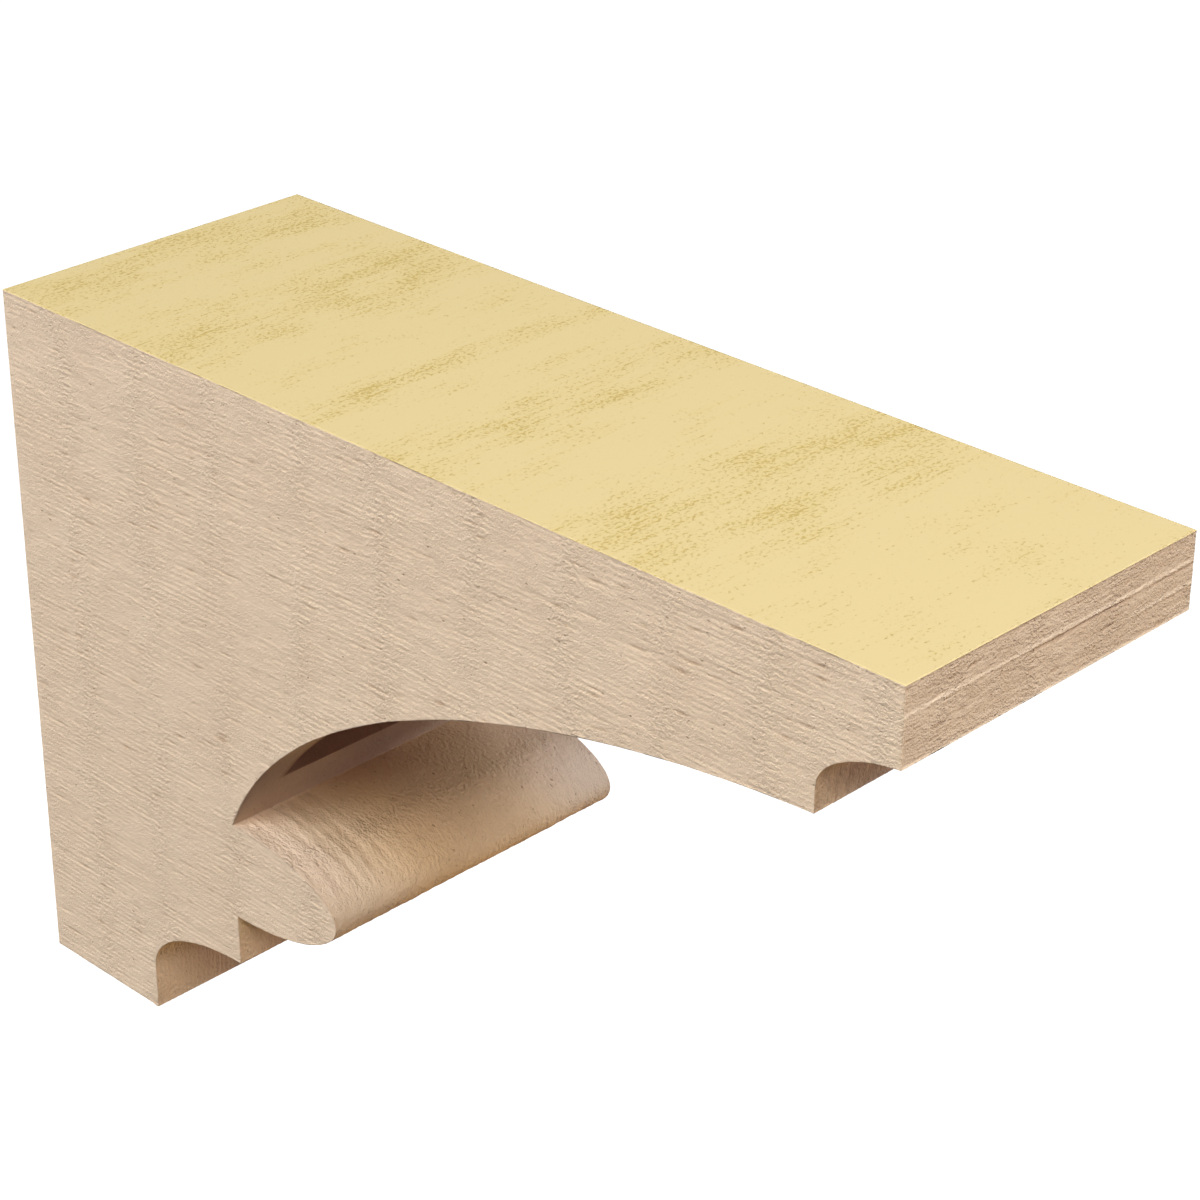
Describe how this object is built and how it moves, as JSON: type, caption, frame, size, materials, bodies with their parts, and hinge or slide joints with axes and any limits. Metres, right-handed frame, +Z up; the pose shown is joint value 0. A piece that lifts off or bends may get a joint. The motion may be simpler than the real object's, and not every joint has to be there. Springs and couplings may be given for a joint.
{
  "type": "polyurethane corbel",
  "caption": "Moulded bracket corbel: a flat-topped arm over a recessed vault, with a rounded lobe, a step and a cove below, for fixing to a wall under a shelf or eave.",
  "frame": {"origin": "centre of the flat face that goes against the wall", "axes": "+X out from the wall along the arm, +Y across the corbel, +Z up"},
  "size_m": [0.4572, 0.1524, 0.3048],
  "materials": {
    "primed_foam": "tan primer on rough-sawn moulded polyurethane foam, bare yellow foam on the glued faces"
  },
  "bodies": {
    "root": {"corbel": "primed_foam"}
  },
  "joints": []
}
